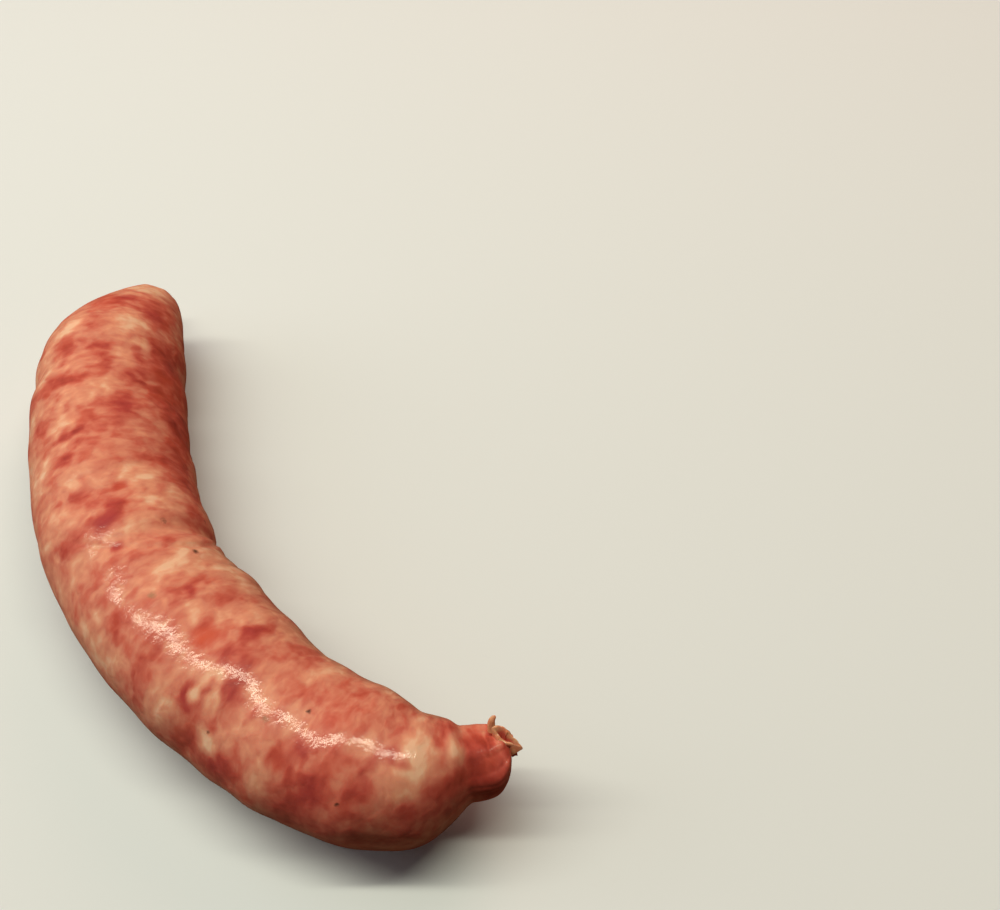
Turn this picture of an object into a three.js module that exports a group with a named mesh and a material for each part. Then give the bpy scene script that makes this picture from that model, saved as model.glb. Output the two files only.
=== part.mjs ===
// A raw sausage link: coarse-ground pork in a natural casing, cut from its string and lying
// on its side in a crescent. It is one solid: the filled casing, the pinched neck at one end
// and the twisted-off tails of casing at both ends.
// Millimetres, +Z up. The ends lie towards -X and +X, and the back of the bend towards -Y.

import * as THREE from "three";

// Along the link: s runs from 0 at the blunt end to LENGTH at the end of the neck.
const LENGTH = 171.4;
const BLUNT_END_TAPER = 30.7;
const BLUNT_END_ROUNDNESS = 1.56;
const SHOULDER_START = 140.9;
const SHOULDER_END = 165.4;
const NECK_RADIUS = 6.25;
const NECK_TIP = 5.0;
const NECK_BLEND = 0.5;

// Across the link: the filled casing's radius at places along it.
const BODY_RADII = [
  { s: 38, radius: 15.7 },
  { s: 72, radius: 15.8 },
  { s: 106, radius: 15.1 },
  { s: 141, radius: 13.4 },
  { s: 171, radius: 14.6 },
];
const HEIGHT_PER_WIDTH = 0.934;
const AXIS_HEIGHT = 13.66;

// The bend: an even curl, a stronger one round the middle and a hook at the neck.
const START_HEADING = -42.1;
const EVEN_CURL = 62.9;
const MIDDLE_CURL = 18.4;
const MIDDLE_CURL_PLACE = 87.8;
const MIDDLE_CURL_SPREAD = 45.9;
const HOOK = 36.3;
const HOOK_START = 138.3;

// Sideways shifts of the section, towards the inside of the bend.
const BLUNT_END_SHIFT = 4.2;
const BLUNT_END_SHIFT_LENGTH = 20.6;
const NECK_SHIFT = 3.2;
const NECK_DROP = 1.0;

// The tails: casing that was twisted shut and cut off past each end.
const TAIL_WAIST_RADIUS = 1.6;
const TAIL_WAIST = 0.9;
const TAIL_FRILL_RADIUS = 2.7;
const TAIL_FRILL = 2.3;
const TAIL_PLEATS = 5;
const TAIL_PLEAT_DEPTH = 0.25;
const NECK_TAIL_RISE = 3.0;
const BLUNT_TAIL_DROP = 6.5;
const BLUNT_TAIL_SHIFT = -7.0;
const TAIL_TURN_LENGTH = 8;

// Relief of the surface.
const LUMPS = [
  { height: 0.24, wavelength: 33, lobes: 2, phase: 0.6 },
  { height: 0.2, wavelength: 19, lobes: 3, phase: 2.3 },
  { height: 0.1, wavelength: 13, lobes: 1, phase: 4.1 },
  { height: 0.07, wavelength: 10.5, lobes: 4, phase: 1.2 },
];
// Soft rolls and hollows of the casing: place along, place round (degrees from the inside of
// the bend, +90 on top), half-lengths along and round, and height.
const SWELLINGS = [
  { s: 8, round: 100, along: 7, arc: 45, height: -0.6 },
  { s: 20, round: 0, along: 3, arc: 40, height: 0.4 },
  { s: 20, round: 165, along: 9, arc: 50, height: 0.5 },
  { s: 25.5, round: 147, along: 2.6, arc: 40, height: 0.4 },
  { s: 31, round: 5, along: 4, arc: 35, height: -0.75 },
  { s: 36, round: 150, along: 3.2, arc: 40, height: -0.9 },
  { s: 39, round: -5, along: 5, arc: 40, height: 0.3 },
  { s: 51, round: 8, along: 6, arc: 35, height: 0.85 },
  { s: 57, round: 156, along: 5, arc: 35, height: -0.35 },
  { s: 61, round: -5, along: 3.5, arc: 50, height: 0.7 },
  { s: 71, round: 162, along: 3.5, arc: 35, height: -0.4 },
  { s: 74, round: 0, along: 6, arc: 40, height: -0.2 },
  { s: 87, round: 5, along: 2.6, arc: 75, height: -1.8 },
  { s: 92.8, round: 8, along: 2.4, arc: 45, height: -0.9 },
  { s: 102.3, round: 12, along: 4, arc: 40, height: 0.95 },
  { s: 107, round: 175, along: 8, arc: 35, height: -0.4 },
  { s: 108, round: 20, along: 5, arc: 40, height: 0.35 },
  { s: 117, round: 15, along: 3.6, arc: 40, height: 0.55 },
  { s: 120, round: 180, along: 4, arc: 35, height: -0.6 },
  { s: 129, round: 15, along: 3, arc: 45, height: -0.35 },
  { s: 132.4, round: 180, along: 3.5, arc: 40, height: 0.45 },
  { s: 141, round: 30, along: 6.5, arc: 38, height: 0.95 },
  { s: 142.5, round: 184, along: 4, arc: 40, height: -0.7 },
  { s: 151.5, round: 30, along: 3, arc: 36, height: 0.6 },
  { s: 151, round: 185, along: 3.5, arc: 40, height: -0.8 },
  { s: 153, round: 10, along: 5, arc: 55, height: -2.1 },
  { s: 154, round: 215, along: 6, arc: 50, height: 0.7 },
  { s: 158, round: 55, along: 2.8, arc: 35, height: -0.4 },
  { s: 161, round: 185, along: 3.2, arc: 40, height: -0.85 },
  { s: 163, round: 65, along: 2.6, arc: 45, height: 1.0 },
];
const PLEATS = 7;
const PLEAT_DEPTH = 0.32;
const PLEAT_LENGTH = 16;
const PLEAT_TURN = 0.9;

// Facets.
const SIDES = 36;
const STATIONS = [
  { upTo: 12, step: 1 },
  { upTo: 78, step: 2.4 },
  { upTo: 90, step: 1 },
  { upTo: 138, step: 2.4 },
  { upTo: LENGTH + TAIL_WAIST + TAIL_FRILL, step: 0.9 },
];
const SPINE_STEP = 0.25;

const TAIL_LENGTH = TAIL_WAIST + TAIL_FRILL;
const TAIL_FLARED = 0.8 * TAIL_LENGTH;
const TAIL_ROUNDED = 0.82 * TAIL_LENGTH;
const radians = THREE.MathUtils.degToRad;
const { clamp, smoothstep } = THREE.MathUtils;

function bell(x, halfLength) {
  return Math.exp(-((x / halfLength) ** 2));
}

function smoothMax(a, b, blend) {
  const apart = clamp(0.5 + (a - b) / (4 * blend), 0, 1);
  return b + (a - b) * apart + 2 * blend * apart * (1 - apart);
}

function bodyRadius(s) {
  const next = BODY_RADII.findIndex((place) => place.s >= s);
  if (next === 0) return BODY_RADII[0].radius;
  if (next < 0) return BODY_RADII.at(-1).radius;
  const [from, to] = [BODY_RADII[next - 1], BODY_RADII[next]];
  return from.radius + (to.radius - from.radius) * smoothstep(s, from.s, to.s);
}

// The casing's radius where it holds meat, without relief. It is 0 at both tips.
function filledRadius(s) {
  if (s <= 0 || s >= LENGTH) return 0;
  const fromTip = clamp(1 - s / BLUNT_END_TAPER, 0, 1);
  const bluntEnd = (1 - fromTip ** BLUNT_END_ROUNDNESS) ** (1 / BLUNT_END_ROUNDNESS);
  const past = clamp((s - SHOULDER_START) / (SHOULDER_END - SHOULDER_START), 0, 1);
  const body = bodyRadius(s) * bluntEnd * Math.sqrt(1 - past ** 2);
  if (s < SHOULDER_START) return body;
  const tip = clamp((s - LENGTH + NECK_TIP) / NECK_TIP, 0, 1);
  const neck = NECK_RADIUS * Math.sqrt(1 - tip ** 2);
  return smoothMax(body, neck, NECK_BLEND);
}

// The tail's radius: a tight waist, then a frill that ends bluntly.
function tailRadius(past) {
  if (past < 0 || past >= TAIL_LENGTH) return 0;
  const flare = smoothstep(past, TAIL_WAIST / 2, TAIL_FLARED);
  const end = clamp((past - TAIL_ROUNDED) / (TAIL_LENGTH - TAIL_ROUNDED), 0, 1);
  const radius = TAIL_WAIST_RADIUS + (TAIL_FRILL_RADIUS - TAIL_WAIST_RADIUS) * flare;
  return radius * Math.sqrt(1 - end ** 2);
}

function profileRadius(s) {
  const past = Math.max(-s, s - LENGTH);
  const waist = past > -TAIL_WAIST && past < 0 ? TAIL_WAIST_RADIUS : tailRadius(past);
  return Math.max(filledRadius(s), waist);
}

function heading(s) {
  const u = clamp(s / LENGTH, 0, 1);
  const middle = 0.5 * (1 + Math.tanh((s - MIDDLE_CURL_PLACE) / MIDDLE_CURL_SPREAD));
  const hook = HOOK * smoothstep(s, HOOK_START, LENGTH);
  return radians(START_HEADING + EVEN_CURL * u + MIDDLE_CURL * middle + hook);
}

// The centreline's plan, marched from one tail to the other.
function makeSpine() {
  const points = [];
  let [x, y] = [0, 0];
  for (let s = -TAIL_LENGTH; s <= LENGTH + TAIL_LENGTH + SPINE_STEP; s += SPINE_STEP) {
    points.push({ x, y });
    const course = heading(s + SPINE_STEP / 2);
    x += Math.cos(course) * SPINE_STEP;
    y += Math.sin(course) * SPINE_STEP;
  }
  return points;
}
const spine = makeSpine();

// The section's centre at s, with its shifts to the side and up or down.
function centre(s) {
  const at = clamp((s + TAIL_LENGTH) / SPINE_STEP, 0, spine.length - 2);
  const [from, to] = [spine[Math.floor(at)], spine[Math.floor(at) + 1]];
  const part = at - Math.floor(at);
  const neck = smoothstep(s, SHOULDER_START, SHOULDER_END);
  const blunt = clamp(1 - s / BLUNT_END_SHIFT_LENGTH, 0, 1);
  const tail = smoothstep(-s, -TAIL_TURN_LENGTH / 2, TAIL_WAIST);
  const inwards = NECK_SHIFT * neck + BLUNT_END_SHIFT * blunt + BLUNT_TAIL_SHIFT * tail;
  const drop = NECK_DROP * smoothstep(s, SHOULDER_START, LENGTH);
  const rise = NECK_TAIL_RISE * smoothstep(s, LENGTH - TAIL_TURN_LENGTH / 2, LENGTH + TAIL_WAIST);
  return new THREE.Vector3(
    from.x + (to.x - from.x) * part - Math.sin(heading(s)) * inwards,
    from.y + (to.y - from.y) * part + Math.cos(heading(s)) * inwards,
    AXIS_HEIGHT - drop + rise - BLUNT_TAIL_DROP * tail,
  );
}

// Lumps of meat under the casing, its rolls in the crook, and the pleats at its ends.
function relief(s, round) {
  let height = 0;
  for (const lump of LUMPS) {
    const wave = Math.sin((2 * Math.PI * s) / lump.wavelength + lump.phase);
    height += lump.height * wave * Math.cos(lump.lobes * round + lump.phase * 2);
  }
  for (const swelling of SWELLINGS) {
    const away = Math.atan2(
      Math.sin(round - radians(swelling.round)),
      Math.cos(round - radians(swelling.round)),
    );
    height += swelling.height * bell(s - swelling.s, swelling.along)
      * bell(away, radians(swelling.arc));
  }
  const nearNeck = bell(Math.max(LENGTH - s, 0), PLEAT_LENGTH / 2);
  const nearEnd = nearNeck + bell(Math.max(s, 0), PLEAT_LENGTH / 4);
  return height + PLEAT_DEPTH * nearEnd * Math.cos(PLEATS * round + PLEAT_TURN);
}

// The skin's radius at s and at an angle round from the inside of the bend, +90 degrees on top.
function skinRadius(s, round, plain) {
  const inTail = s < 0 || s > LENGTH;
  if (inTail) return plain * (1 + TAIL_PLEAT_DEPTH * Math.cos(TAIL_PLEATS * round));
  return plain + relief(s, round) * smoothstep(plain, 0, NECK_RADIUS);
}

function stations() {
  const places = [-TAIL_LENGTH];
  for (const { upTo, step } of STATIONS) {
    const from = places.at(-1);
    const count = Math.round((upTo - from) / step);
    for (let i = 1; i <= count; i++) places.push(from + ((upTo - from) * i) / count);
  }
  return places;
}

// A straight link turned on a lathe, its axis along Y, from tail to tail.
function straightLink() {
  const places = stations();
  const profile = places.map((s) => new THREE.Vector2(profileRadius(s), s));
  profile[0].x = 0;
  profile.at(-1).x = 0;
  return new THREE.LatheGeometry(profile, SIDES);
}

// Bends the straight link along the centreline, gives it its relief and sets it down.
function bentLink() {
  const geometry = straightLink();
  geometry.deleteAttribute("uv");
  geometry.deleteAttribute("normal");
  const position = geometry.getAttribute("position");
  for (let i = 0; i < position.count; i++) {
    const s = position.getY(i);
    const round = Math.atan2(position.getX(i), position.getZ(i));
    const plain = Math.hypot(position.getX(i), position.getZ(i));
    const radius = plain < 1e-6 ? 0 : skinRadius(s, round, plain);
    const course = heading(s);
    const place = centre(s);
    place.x -= Math.sin(course) * Math.cos(round) * radius;
    place.y += Math.cos(course) * Math.cos(round) * radius;
    place.z += Math.sin(round) * radius * HEIGHT_PER_WIDTH;
    position.setXYZ(i, place.x, place.y, Math.max(place.z, 0));
  }
  geometry.computeBoundingBox();
  const middle = geometry.boundingBox.getCenter(new THREE.Vector3());
  geometry.translate(-middle.x, -middle.y, 0);
  geometry.computeVertexNormals();
  return geometry;
}

const meat = new THREE.MeshStandardMaterial({ color: 0xc66a52, roughness: 0.38, metalness: 0 });
const link = new THREE.Mesh(bentLink(), meat);
link.name = "sausage_link";

const sausage = new THREE.Group();
sausage.add(link);

export default sausage;
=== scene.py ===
# A raw sausage link, dressed: the moist casing over coarse lean and fat, its wrinkles and the
# twisted tails of casing at its ends. Sizes are in millimetres until they become a mesh.
import math

import bpy
import numpy as np
from mathutils import Matrix, Vector, noise


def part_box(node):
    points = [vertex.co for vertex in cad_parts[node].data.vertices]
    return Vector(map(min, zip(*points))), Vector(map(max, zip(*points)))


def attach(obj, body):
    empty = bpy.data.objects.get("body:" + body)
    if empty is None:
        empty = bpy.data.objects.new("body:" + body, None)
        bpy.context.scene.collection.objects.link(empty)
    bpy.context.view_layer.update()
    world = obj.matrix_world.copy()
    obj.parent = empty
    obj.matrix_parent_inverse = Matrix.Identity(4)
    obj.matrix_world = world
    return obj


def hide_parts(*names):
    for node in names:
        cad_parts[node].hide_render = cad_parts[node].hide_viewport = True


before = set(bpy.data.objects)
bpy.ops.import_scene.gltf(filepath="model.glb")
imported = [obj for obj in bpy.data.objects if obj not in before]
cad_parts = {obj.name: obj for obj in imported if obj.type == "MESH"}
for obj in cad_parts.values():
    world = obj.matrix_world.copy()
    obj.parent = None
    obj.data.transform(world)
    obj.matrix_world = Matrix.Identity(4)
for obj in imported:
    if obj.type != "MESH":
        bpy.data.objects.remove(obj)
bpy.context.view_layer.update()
NODE = "sausage_link"
BODY = "root"
MM = 0.001

# ---------------------------------------------------------------- the view
# The camera's place is in millimetres in the frame, and its clipping distance in metres.
CAMERA_PLACE = (138.8, -23.9, 188.4)
CAMERA_AZIMUTH = 54.87
CAMERA_PITCH = 50.0
CAMERA_LENS = 39.6
CAMERA_SENSOR = 36.0
CAMERA_CLIP_START = 0.01

# ---------------------------------------------------------------- the link's form
# Along the link, s runs from 0 at the blunt end to LENGTH at the end of the neck.
LENGTH = 171.4
BLUNT_END_TAPER = 30.7
BLUNT_END_ROUNDNESS = 1.56
SHOULDER_START, SHOULDER_END = 140.9, 165.4
NECK_RADIUS, NECK_TIP, NECK_BLEND = 6.25, 5.0, 0.5
# place along and radius of the filled casing
BODY_RADII = ((38, 15.7), (72, 15.8), (106, 15.1), (141, 13.4), (171, 14.6))
HEIGHT_PER_WIDTH = 0.934
AXIS_HEIGHT = 13.66
START_HEADING, EVEN_CURL = -42.1, 62.9
MIDDLE_CURL, MIDDLE_CURL_PLACE, MIDDLE_CURL_SPREAD = 18.4, 87.8, 45.9
HOOK, HOOK_START = 36.3, 138.3
BLUNT_END_SHIFT, BLUNT_END_SHIFT_LENGTH = 4.2, 20.6
NECK_SHIFT, NECK_DROP = 3.2, 1.0
TAIL_WAIST_RADIUS, TAIL_WAIST, TAIL_FRILL_RADIUS, TAIL_FRILL = 1.6, 0.9, 2.7, 2.3
TAIL_PLEATS, TAIL_PLEAT_DEPTH = 5, 0.25
NECK_TAIL_RISE, BLUNT_TAIL_DROP, BLUNT_TAIL_SHIFT = 3.0, 6.5, -7.0
TAIL_TURN_LENGTH = 8.0
TAIL_LENGTH = TAIL_WAIST + TAIL_FRILL
# where the frill starts to flare, in waists, and where its flare and its closing end start, in
# whole tails
FLARE_START, FLARE_END, FRILL_END = 0.5, 0.8, 0.82
CENTRELINE_STEP = 0.25

# height, wavelength along, lobes round and phase
LUMPS = (
    (0.24, 33, 2, 0.6),
    (0.2, 19, 3, 2.3),
    (0.1, 13, 1, 4.1),
    (0.07, 10.5, 4, 1.2),
)
# place along, place round in degrees (0 inside the bend, 90 on top), half-lengths along and
# round, and height
SWELLINGS = (
    (8, 100, 7, 45, -0.6),
    (20, 0, 3, 40, 0.4),
    (20, 165, 9, 50, 0.5),
    (25.5, 147, 2.6, 40, 0.4),
    (31, 5, 4, 35, -0.75),
    (36, 150, 3.2, 40, -0.9),
    (39, -5, 5, 40, 0.3),
    (51, 8, 6, 35, 0.85),
    (57, 156, 5, 35, -0.35),
    (61, -5, 3.5, 50, 0.7),
    (71, 162, 3.5, 35, -0.4),
    (74, 0, 6, 40, -0.2),
    (87, 5, 2.6, 75, -1.8),
    (92.8, 8, 2.4, 45, -0.9),
    (102.3, 12, 4, 40, 0.95),
    (107, 175, 8, 35, -0.4),
    (108, 20, 5, 40, 0.35),
    (117, 15, 3.6, 40, 0.55),
    (120, 180, 4, 35, -0.6),
    (129, 15, 3, 45, -0.35),
    (132.4, 180, 3.5, 40, 0.45),
    (141, 30, 6.5, 38, 0.95),
    (142.5, 184, 4, 40, -0.7),
    (151.5, 30, 3, 36, 0.6),
    (151, 185, 3.5, 40, -0.8),
    (153, 10, 5, 55, -2.1),
    (154, 215, 6, 50, 0.7),
    (158, 55, 2.8, 35, -0.4),
    (161, 185, 3.2, 40, -0.85),
    (163, 65, 2.6, 45, 1.0),
)
PLEATS, PLEAT_DEPTH, PLEAT_LENGTH, PLEAT_TURN = 7, 0.32, 16, 0.9

# rings and sides of the mesh, and how much closer the rings lie at its ends
STATIONS, SIDES, STATION_CROWDING = 460, 200, 0.55
# rings and sides that are enough to find the link's box
BOX_STATIONS, BOX_SIDES = 500, 72
BASE_SOFTNESS = 0.12


def smoothstep(x, low, high):
    """0 up to low and 1 from high on, easing in between."""
    t = np.clip((x - low) / (high - low), 0, 1)
    return t * t * (3 - 2 * t)


def bell(x, half_length):
    """1 at x = 0, falling off smoothly on both sides."""
    return np.exp(-((x / half_length) ** 2))


def smooth_max(a, b, blend):
    """The larger of two values, with the change from one to the other rounded off."""
    apart = np.clip(0.5 + (a - b) / (4 * blend), 0, 1)
    return b + (a - b) * apart + 2 * blend * apart * (1 - apart)


def turned(angle, degrees):
    """The angle from a direction given in degrees, from -pi to pi."""
    away = angle - math.radians(degrees)
    return np.arctan2(np.sin(away), np.cos(away))


def body_radius(s):
    """The radius of the filled casing away from its ends."""
    radius = np.full_like(s, BODY_RADII[0][1])
    for (from_s, low), (to_s, high) in zip(BODY_RADII, BODY_RADII[1:]):
        radius += (high - low) * smoothstep(s, from_s, to_s)
    return radius


def filled_radius(s):
    """The casing's radius where it holds meat, without relief."""
    from_tip = np.clip(1 - s / BLUNT_END_TAPER, 0, 1)
    blunt = (1 - from_tip**BLUNT_END_ROUNDNESS) ** (1 / BLUNT_END_ROUNDNESS)
    past = np.clip((s - SHOULDER_START) / (SHOULDER_END - SHOULDER_START), 0, 1)
    body = body_radius(s) * blunt * np.sqrt(1 - past**2)
    tip = np.clip((s - LENGTH + NECK_TIP) / NECK_TIP, 0, 1)
    neck = NECK_RADIUS * np.sqrt(1 - tip**2)
    return np.where(s < SHOULDER_START, body, smooth_max(body, neck, NECK_BLEND))


def profile_radius(s):
    """The radius along the whole link: the meat, and the waist and frill of each tail."""
    past = np.maximum(-s, s - LENGTH)
    flare = smoothstep(past, TAIL_WAIST * FLARE_START, TAIL_LENGTH * FLARE_END)
    end = np.clip((past / TAIL_LENGTH - FRILL_END) / (1 - FRILL_END), 0, 1)
    tail = TAIL_WAIST_RADIUS + (TAIL_FRILL_RADIUS - TAIL_WAIST_RADIUS) * flare
    tail = np.where(past < -TAIL_WAIST, 0, tail * np.sqrt(1 - end**2))
    filled = np.where(past > 0, 0, filled_radius(np.clip(s, 0, LENGTH)))
    return np.maximum(filled, tail)


def heading(s):
    """The centreline's direction in plan, in radians from +X towards +Y."""
    u = np.clip(s / LENGTH, 0, 1)
    middle = 0.5 * (1 + np.tanh((s - MIDDLE_CURL_PLACE) / MIDDLE_CURL_SPREAD))
    hook = HOOK * smoothstep(s, HOOK_START, LENGTH)
    return np.radians(START_HEADING + EVEN_CURL * u + MIDDLE_CURL * middle + hook)


def centres(s):
    """The section's centres, with their shifts to the side and up or down."""
    step = CENTRELINE_STEP
    along = np.arange(-TAIL_LENGTH, LENGTH + TAIL_LENGTH + step, step)
    course = heading(along + step / 2)
    x = np.concatenate([[0], np.cumsum(np.cos(course) * step)[:-1]])
    y = np.concatenate([[0], np.cumsum(np.sin(course) * step)[:-1]])
    tail = smoothstep(-s, -TAIL_TURN_LENGTH / 2, TAIL_WAIST)
    inwards = NECK_SHIFT * smoothstep(s, SHOULDER_START, SHOULDER_END)
    inwards += BLUNT_END_SHIFT * np.clip(1 - s / BLUNT_END_SHIFT_LENGTH, 0, 1)
    inwards += BLUNT_TAIL_SHIFT * tail
    drop = NECK_DROP * smoothstep(s, SHOULDER_START, LENGTH)
    rise = NECK_TAIL_RISE * smoothstep(s, LENGTH - TAIL_TURN_LENGTH / 2, LENGTH + TAIL_WAIST)
    return np.stack(
        [
            np.interp(s, along, x) - np.sin(heading(s)) * inwards,
            np.interp(s, along, y) + np.cos(heading(s)) * inwards,
            AXIS_HEIGHT - drop + rise - BLUNT_TAIL_DROP * tail,
        ],
        axis=-1,
    )


def relief(s, round_):
    """Lumps of meat under the casing, its rolls in the crook, and the pleats at its ends."""
    height = np.zeros_like(s)
    for size, wavelength, lobes, phase in LUMPS:
        wave = np.sin(2 * np.pi * s / wavelength + phase)
        height += size * wave * np.cos(lobes * round_ + phase * 2)
    for place, side, along, arc, size in SWELLINGS:
        across = bell(turned(round_, side), math.radians(arc))
        height += size * bell(s - place, along) * across
    near_end = bell(np.maximum(LENGTH - s, 0), PLEAT_LENGTH / 2)
    near_end += bell(np.maximum(s, 0), PLEAT_LENGTH / 4)
    return height + PLEAT_DEPTH * near_end * np.cos(PLEATS * round_ + PLEAT_TURN)


# ---------------------------------------------------------------- fine relief of the casing
# wavelength and height of each octave of unevenness
GRIND = ((7.0, 0.08), (3.2, 0.035), (1.5, 0.012))
GRIND_STRETCH = 1.5
# where the noise of the first octave is read, and how far along it the next ones lie
GRIND_PLACE, OCTAVE_SHIFT = (0.0, 17.0, 5.0), 31.0
# Folds across the link: place along and place round of the fold's crown, how far it bows back,
# half-width, arc and depth; the last one, below 0, fills the crease at the top of the neck
FOLDS = (
    (92.8, 51, 7.6, 0.5, 60, 0.55),
    (88.4, 32, 5.5, 0.5, 38, 0.25),
    (98.0, 22, 3.0, 0.6, 40, 0.22),
    (69.6, 92, 2.8, 0.5, 48, 0.18),
    (161.4, 95, 0.0, 1.7, 42, -0.55),
)
FOLD_WAVER, FOLD_WAVES = 0.25, 5
# Wrinkles that lean into the crook of the bend: the crook's place, how strongly it pulls them
# over and within what arc, their number, first place, spacing, depth and half-width
CROOK, CROOK_PULL, CROOK_PULL_ARC = 87.0, 0.3, 45
CROOK_WRINKLES, CROOK_FIRST, CROOK_SPACING = 17, 42.0, 3.3
CROOK_DEPTH, CROOK_WRINKLE_WIDTH = 0.15, 0.6
# What makes them uneven, as a size and the turn from one wrinkle to the next: their places in
# millimetres, their sides and arcs in degrees, and their waver
CROOK_SHUFFLE, CROOK_SHUFFLE_TURN = 0.9, 5.1
CROOK_SIDE, CROOK_SIDE_SWING, CROOK_SIDE_TURN = 22, 20, 2.4
CROOK_ARC, CROOK_ARC_SWING, CROOK_ARC_TURN = 32, 12, 3.3
CROOK_WAVER, CROOK_WAVES, CROOK_WAVER_TURN = 0.3, 4, 1.7
GATHERS, GATHER_DEPTH, GATHER_LENGTH = 17, 0.16, 9.0
BLUNT_GATHERS, GATHER_WANDER = 0.8, 0.8


def crumbs(s, round_, radius):
    """Unevenness from the coarse grind, drawn out round the link."""
    points = np.stack(
        [s * GRIND_STRETCH, radius * np.cos(round_), radius * np.sin(round_)], axis=-1
    )
    height = np.zeros(len(s))
    for octave, (wavelength, size) in enumerate(GRIND):
        away = Vector(GRIND_PLACE) + Vector((OCTAVE_SHIFT * octave, 0, 0))
        height += [size * noise.noise(Vector(p) / wavelength + away) for p in points]
    return height


def creases(s, round_):
    """Narrow folds of the casing across the link, and the wrinkles that lean into its crook."""
    depth = np.zeros_like(s)
    for place, side, bow, width, arc, size in FOLDS:
        away = turned(round_, side)
        waver = FOLD_WAVER * np.sin(FOLD_WAVES * away + place)
        line = s - place + bow * away**2 + waver
        depth += size * bell(line, width) * bell(away, math.radians(arc))
    for i in range(CROOK_WRINKLES):
        shuffle = CROOK_SHUFFLE * math.sin(CROOK_SHUFFLE_TURN * i)
        place = CROOK_FIRST + CROOK_SPACING * i + shuffle
        away = turned(round_, CROOK_SIDE + CROOK_SIDE_SWING * math.sin(CROOK_SIDE_TURN * i))
        pulled = bell(turned(round_, 0), math.radians(CROOK_PULL_ARC))
        pull = (CROOK - place) * CROOK_PULL * pulled
        waver = CROOK_WAVER * np.sin(CROOK_WAVES * away + CROOK_WAVER_TURN * i)
        line = s - place - pull + waver
        arc = math.radians(CROOK_ARC + CROOK_ARC_SWING * math.sin(CROOK_ARC_TURN * i))
        depth += CROOK_DEPTH * bell(line, CROOK_WRINKLE_WIDTH) * bell(away, arc)
    return depth


def gathers(s, round_):
    """Fine gathers that run along the link into its twisted ends."""
    near_end = bell(np.maximum(LENGTH - s, 0), GATHER_LENGTH)
    near_end += BLUNT_GATHERS * bell(np.maximum(s, 0), GATHER_LENGTH / 2)
    ridges = np.abs(np.sin(GATHERS / 2 * round_ + GATHER_WANDER * np.sin(2 * round_)))
    return near_end * GATHER_DEPTH * (ridges - 0.5)


# ---------------------------------------------------------------- meshes
def skin_points(s, round_, fine):
    """Points of the casing in the link's own plan, and the radius there, in millimetres."""
    plain = profile_radius(s)
    height = relief(s, round_)
    if fine:
        height += crumbs(s, round_, plain) - creases(s, round_) + gathers(s, round_)
    pleated = plain * (1 + TAIL_PLEAT_DEPTH * np.cos(TAIL_PLEATS * round_))
    in_tail = (s < 0) | (s > LENGTH)
    radius = np.where(in_tail, pleated, plain + height * smoothstep(plain, 0, NECK_RADIUS))
    course = heading(s)
    points = centres(s)
    points[:, 0] -= np.sin(course) * np.cos(round_) * radius
    points[:, 1] += np.cos(course) * np.cos(round_) * radius
    points[:, 2] += np.sin(round_) * radius * HEIGHT_PER_WIDTH
    points[:, 2] = smooth_max(points[:, 2], 0 * s, BASE_SOFTNESS)
    return points, radius


def rings(stations, sides):
    """The places along and round of every point of a tube, ring after ring."""
    angles = np.linspace(0, 2 * np.pi, sides, endpoint=False)
    s, round_ = np.meshgrid(stations, angles, indexing="ij")
    return s.ravel(), round_.ravel()


def plan_offset():
    """What brings the link's own plan into the frame: the middle of its box to the solid's."""
    whole = np.linspace(-TAIL_LENGTH, LENGTH + TAIL_LENGTH, BOX_STATIONS)
    points, _ = skin_points(*rings(whole, BOX_SIDES), fine=False)
    low, high = (np.array(corner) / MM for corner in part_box(NODE))
    shift = (low + high - points.min(0) - points.max(0)) / 2
    return np.array([shift[0], shift[1], 0])


def grid_mesh(name, points, sides):
    """A smooth mesh from rings of points in metres, with each end drawn to a point."""
    count = len(points) // sides
    i, j = np.meshgrid(np.arange(count - 1), np.arange(sides), indexing="ij")
    k = (j + 1) % sides
    corners = (i * sides + j, i * sides + k, (i + 1) * sides + k, (i + 1) * sides + j)
    faces = np.stack(corners, axis=-1).reshape(-1, 4).tolist()
    first, last, base = len(points), len(points) + 1, (count - 1) * sides
    ends = [points[:sides].mean(0), points[base:].mean(0)]
    points = np.vstack([points, ends])
    faces += [(first, (j + 1) % sides, j) for j in range(sides)]
    faces += [(last, base + j, base + (j + 1) % sides) for j in range(sides)]
    mesh = bpy.data.meshes.new(name)
    mesh.from_pydata(points.tolist(), [], faces)
    mesh.update()
    mesh.polygons.foreach_set("use_smooth", [True] * len(mesh.polygons))
    piece = bpy.data.objects.new(name, mesh)
    bpy.context.scene.collection.objects.link(piece)
    return piece


def add_attribute(piece, name, values):
    """A value or vector for each point; the two closing points take the first and the last."""
    values = np.asarray(values, np.float32)
    values = np.concatenate([values, values[:1], values[-1:]])
    vector = values.ndim == 2
    kind = "FLOAT_VECTOR" if vector else "FLOAT"
    attribute = piece.data.attributes.new(name, kind, "POINT")
    attribute.data.foreach_set("vector" if vector else "value", values.ravel())


def link_stations():
    """Places along the link, closer together at its ends."""
    t = np.linspace(0, 1, STATIONS)
    eased = t - STATION_CROWDING * np.sin(2 * np.pi * t) / (2 * np.pi)
    return -TAIL_WAIST + eased * (LENGTH + 2 * TAIL_WAIST)


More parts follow.
